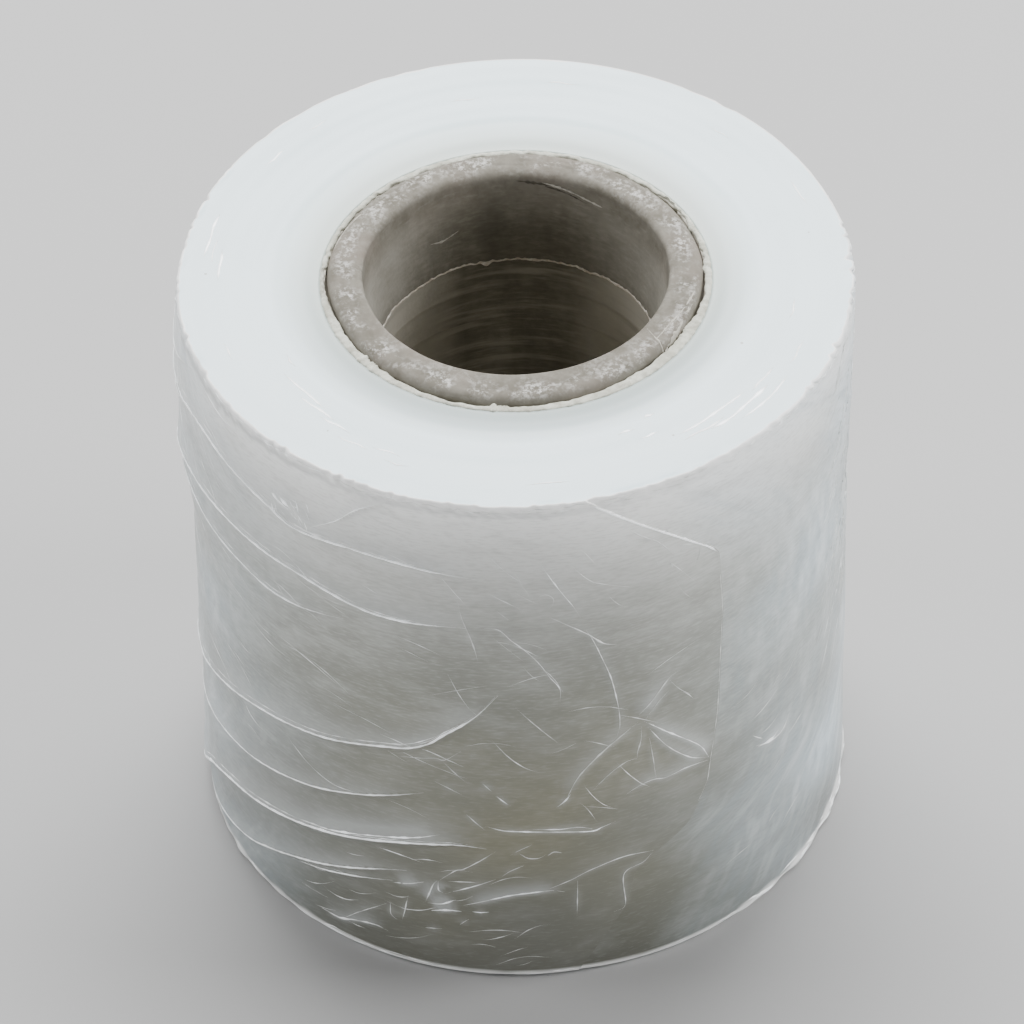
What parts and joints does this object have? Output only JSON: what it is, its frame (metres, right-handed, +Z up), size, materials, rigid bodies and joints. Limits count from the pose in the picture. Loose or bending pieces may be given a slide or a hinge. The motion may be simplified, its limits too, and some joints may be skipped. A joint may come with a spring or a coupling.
{
  "type": "roll of cling film",
  "caption": "Small roll of clear stretch film wound on a thick paper core, standing on its end, with loose outer folds and a torn free end.",
  "frame": {"origin": "on the roll's axis, in the plane that it stands on", "axes": "+Z up along the core's axis, -Y towards the side with the film's free end"},
  "size_m": [0.1021, 0.1015, 0.1004],
  "materials": {
    "core_board": "matte",
    "film": "satin"
  },
  "bodies": {
    "root": {"core": "core_board", "film_roll": "film"}
  },
  "joints": []
}
